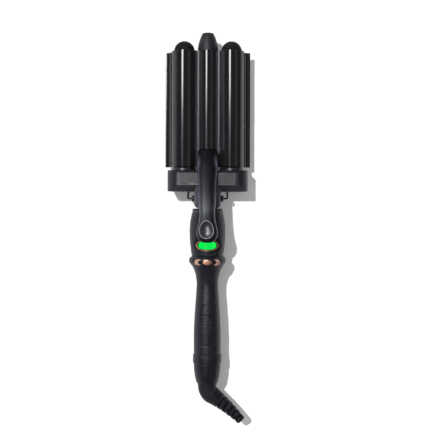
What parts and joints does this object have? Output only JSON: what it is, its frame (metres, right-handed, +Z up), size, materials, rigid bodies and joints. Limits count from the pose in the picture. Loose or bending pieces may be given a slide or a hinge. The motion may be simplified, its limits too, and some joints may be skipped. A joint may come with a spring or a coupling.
{
  "type": "hair crimper",
  "caption": "Corded hair crimper: parallel barrels closed by a sprung lever, on a round handle with a display, buttons, ribbed strain relief and folding wire stand.",
  "frame": {"origin": "on the surface the appliance lies on, under the middle of its overall box; the axis of the handle and barrels is 20.2 mm above it", "axes": "+X across the barrels, +Y from the cord towards the barrel tips, +Z up towards the lever and the display"},
  "size_m": [0.0936, 0.4285, 0.0549],
  "materials": {
    "barrel_coat": "glossy ceramic coating",
    "cap_plastic": "matte",
    "tip_plastic": "satin",
    "collar_plastic": "satin",
    "housing_plastic": "fine texture",
    "heater_ceramic": "matte",
    "clamp_aluminium": "extruded",
    "fuse_metal": "plain",
    "thermistor_glass": "glazed",
    "screw_steel": "zinc plated",
    "red_insulation": "satin",
    "blue_insulation": "satin",
    "pin_steel": "ground",
    "pin_cap_plastic": "satin",
    "spring_steel": "drawn",
    "handle_plastic": "satin",
    "copper_trim": "metallised",
    "display_green": "clear",
    "display_module_plastic": "plain",
    "board_green": "solder mask",
    "switch_plastic": "plain",
    "component_plastic": "plain",
    "grip_soft": "soft touch",
    "ring_plastic": "satin",
    "contact_brass": "bright",
    "chassis_metal": "satin",
    "lever_plastic": "satin",
    "dish_plastic": "satin",
    "bail_wire": "satin",
    "hub_plastic": "satin",
    "relief_rubber": "matte",
    "button_copper": "metallised"
  },
  "bodies": {
    "frame": {"fixed_jaw": "barrel_coat", "left_dome_cap": "cap_plastic", "right_dome_cap": "cap_plastic", "barrel_collars": "collar_plastic", "fixed_heaters": "heater_ceramic", "fixed_heater_clamps": "clamp_aluminium", "thermal_fuse": "fuse_metal", "thermistor": "thermistor_glass", "housing_front": "housing_plastic", "housing_rear": "housing_plastic", "housing_screws": "screw_steel", "head_leads": "red_insulation", "hinge_pin": "pin_steel", "pin_caps": "pin_cap_plastic", "torsion_spring": "spring_steel", "handle_top_cap": "handle_plastic", "handle_front_shell": "handle_plastic", "handle_rear_shell": "handle_plastic", "handle_screws": "screw_steel", "display_bezel": "copper_trim", "display_window": "display_green", "display_module": "display_module_plastic", "control_ring": "handle_plastic", "control_board": "board_green", "tactile_switches": "switch_plastic", "grip_sleeve": "grip_soft", "power_board": "board_green", "power_components": "component_plastic", "mains_leads": "blue_insulation", "end_ring": "ring_plastic", "end_cup": "ring_plastic", "contact_plate": "board_green", "contact_pins": "contact_brass"},
    "jaw_lever": {"moving_jaw": "barrel_coat", "cool_tip": "tip_plastic", "barrel_end_plug": "cap_plastic", "middle_heater": "heater_ceramic", "middle_heater_clamps": "clamp_aluminium", "lever_chassis": "chassis_metal", "lever_cover": "lever_plastic", "thumb_dish_rim": "dish_plastic", "foot_screws": "screw_steel"},
    "bail": {"stand_bail": "bail_wire"},
    "swivel": {"swivel_hub": "hub_plastic", "slip_rings": "contact_brass", "strain_relief": "relief_rubber"},
    "minus_button": {"minus_button": "button_copper"},
    "power_button": {"power_button": "button_copper"},
    "plus_button": {"plus_button": "button_copper"}
  },
  "joints": [
    {"name": "lever_hinge", "type": "hinge", "parent": "frame", "child": "jaw_lever", "pos_m": [0, 0.03289, 0.0202], "axis": [1, 0, 0], "range_deg": [0, 12], "stiffness_Nm_per_rad": 0.8, "springref_deg": -22.92, "deforming": ["torsion_spring"]},
    {"name": "bail_hinge", "type": "hinge", "parent": "frame", "child": "bail", "pos_m": [0, 0.03289, 0.0202], "axis": [1, 0, 0], "range_deg": [-100, 0]},
    {"name": "cord_swivel", "type": "hinge", "parent": "frame", "child": "swivel", "pos_m": [0, -0.1701, 0.0202], "axis": [0, 1, 0], "continuous": true},
    {"name": "minus_press", "type": "slide", "parent": "frame", "child": "minus_button", "axis": [0, 0, -1], "range_m": [0, 0.0005], "stiffness_N_per_m": 1500},
    {"name": "power_press", "type": "slide", "parent": "frame", "child": "power_button", "axis": [0, 0, -1], "range_m": [0, 0.0005], "stiffness_N_per_m": 1500},
    {"name": "plus_press", "type": "slide", "parent": "frame", "child": "plus_button", "axis": [0, 0, -1], "range_m": [0, 0.0005], "stiffness_N_per_m": 1500}
  ]
}
